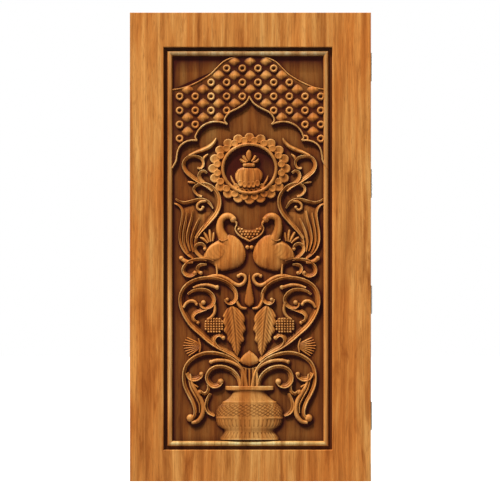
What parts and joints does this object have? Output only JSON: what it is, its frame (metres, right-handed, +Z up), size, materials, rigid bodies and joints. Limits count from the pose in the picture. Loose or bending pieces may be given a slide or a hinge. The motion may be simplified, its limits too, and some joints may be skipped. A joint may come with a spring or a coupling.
{
  "type": "wood-plastic composite door",
  "caption": "Hung entrance door leaf with a plain border round a deep carved panel, a mitred bead moulding and butt hinges on its right edge.",
  "frame": {"origin": "middle of the leaf's bottom edge", "axes": "+Z up the leaf, +X towards the hinge edge, +Y from the carved face to the plain back"},
  "size_m": [1.0875, 0.054, 2.1],
  "materials": {
    "wood_composite": "teak-coloured composite with vertical grain, dark stain in the carving's hollows",
    "hinge_steel": "satin stainless steel",
    "pin_steel": "polished stainless steel"
  },
  "bodies": {
    "hinge_frame_side": {"hinge1_frame_plate": "hinge_steel", "hinge2_frame_plate": "hinge_steel", "hinge3_frame_plate": "hinge_steel", "hinge4_frame_plate": "hinge_steel", "hinge1_pin": "pin_steel", "hinge2_pin": "pin_steel", "hinge3_pin": "pin_steel", "hinge4_pin": "pin_steel"},
    "leaf": {"leaf_frame": "wood_composite", "carved_panel": "wood_composite", "moulding_top": "wood_composite", "moulding_bottom": "wood_composite", "moulding_left": "wood_composite", "moulding_right": "wood_composite", "hinge1_leaf_plate": "hinge_steel", "hinge2_leaf_plate": "hinge_steel", "hinge3_leaf_plate": "hinge_steel", "hinge4_leaf_plate": "hinge_steel", "hinge_screws": "pin_steel"}
  },
  "joints": [
    {"name": "leaf_swing", "type": "hinge", "parent": "hinge_frame_side", "child": "leaf", "pos_m": [0.541, 0.0275, 0], "axis": [0, 0, -1], "range_deg": [0, 180]}
  ]
}
